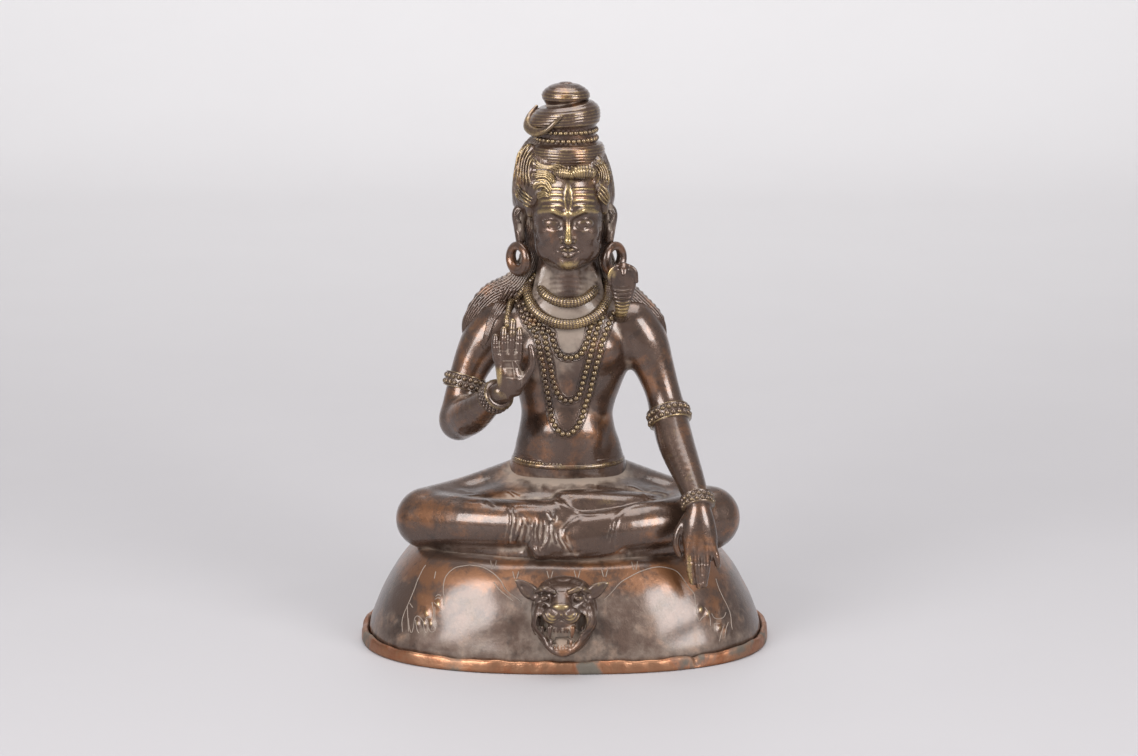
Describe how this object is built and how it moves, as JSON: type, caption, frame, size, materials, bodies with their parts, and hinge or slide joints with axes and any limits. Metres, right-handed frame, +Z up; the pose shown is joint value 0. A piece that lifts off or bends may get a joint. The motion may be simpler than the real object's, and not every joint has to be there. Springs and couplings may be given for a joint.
{
  "type": "shiva figure",
  "caption": "Cast bronze figure of a seated god with raised right hand, coiled topknot, serpent and bead strings, on a domed mound with a tiger skin and a copper foot plate.",
  "frame": {"origin": "middle of the base plate's underside", "axes": "+Z up, the figure faces -Y, +X is the viewer's right"},
  "size_m": [0.185, 0.1313, 0.253],
  "materials": {
    "bronze": "dark brown patina on cast copper alloy, golden where worn, grey dust in the recesses, semi-gloss",
    "copper": "hammered copper sheet, orange-brown with grey-green tarnish, satin"
  },
  "bodies": {
    "root": {"figure": "bronze", "base_plate": "copper"}
  },
  "joints": []
}
